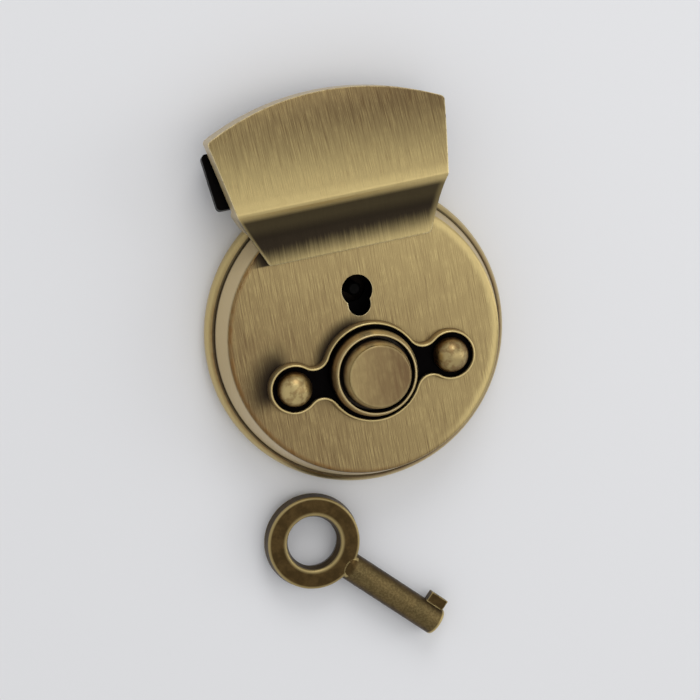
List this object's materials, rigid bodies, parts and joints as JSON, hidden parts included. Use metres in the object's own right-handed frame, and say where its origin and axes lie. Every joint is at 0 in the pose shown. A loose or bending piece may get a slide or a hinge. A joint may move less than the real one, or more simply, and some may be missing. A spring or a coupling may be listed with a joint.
{
  "type": "bag lock",
  "caption": "Round antique-brass press lock for a bag, with push button, keyhole, hook-in hasp plate and ring-bow key.",
  "frame": {"origin": "centre of the case's flat back face, on the lock's round axis", "axes": "+Z out of the lock's face towards the user, +Y from the button towards the hasp and the bag's flap, +X to the right seen from the front"},
  "size_m": [0.047, 0.0875, 0.0149],
  "materials": {
    "aged_brass": "antique brass, brushed, dark patina in the recesses",
    "trim_brass": "antique brass, rubbed bright on the edges",
    "key_brass": "antique bronze, mottled",
    "blackened": "matt black",
    "plated_steel": "zinc plated",
    "spring_steel": "bright spring wire"
  },
  "bodies": {
    "lock": {"case": "aged_brass", "front_cover": "aged_brass", "case_screws": "plated_steel", "escutcheon": "trim_brass", "ball_rivets": "trim_brass", "button_collar": "trim_brass", "mechanism_plate": "plated_steel", "plate_screws": "plated_steel", "catch_spring": "spring_steel", "detent_spring": "spring_steel", "key_pin": "plated_steel", "button_spring": "spring_steel"},
    "button": {"push_button": "trim_brass", "release_cone": "plated_steel"},
    "bolt": {"deadbolt": "plated_steel"},
    "hasp": {"hasp_plate": "aged_brass", "hasp_tongue": "plated_steel", "tongue_rivets": "plated_steel", "hasp_backing_plate": "blackened", "hasp_screws": "plated_steel"},
    "key": {"key": "key_brass"}
  },
  "joints": [
    {"name": "button_press", "type": "slide", "parent": "lock", "child": "button", "axis": [0, 0, -1], "range_m": [0, 0.0014], "stiffness_N_per_m": 600, "springref_m": -0.003, "deforming": ["button_spring", "catch_spring"]},
    {"name": "hasp_lift", "type": "slide", "parent": "lock", "child": "hasp", "axis": [0, 0, 1], "range_m": [0, 0.012], "deforming": ["catch_spring"]},
    {"name": "bolt_throw", "type": "slide", "parent": "lock", "child": "bolt", "axis": [0, 1, 0], "range_m": [0, 0.003], "deforming": ["detent_spring"]},
    {"name": "key_lift", "type": "slide", "parent": "lock", "child": "key", "axis": [0, 0, 1], "range_m": [0, 0.03]}
  ]
}
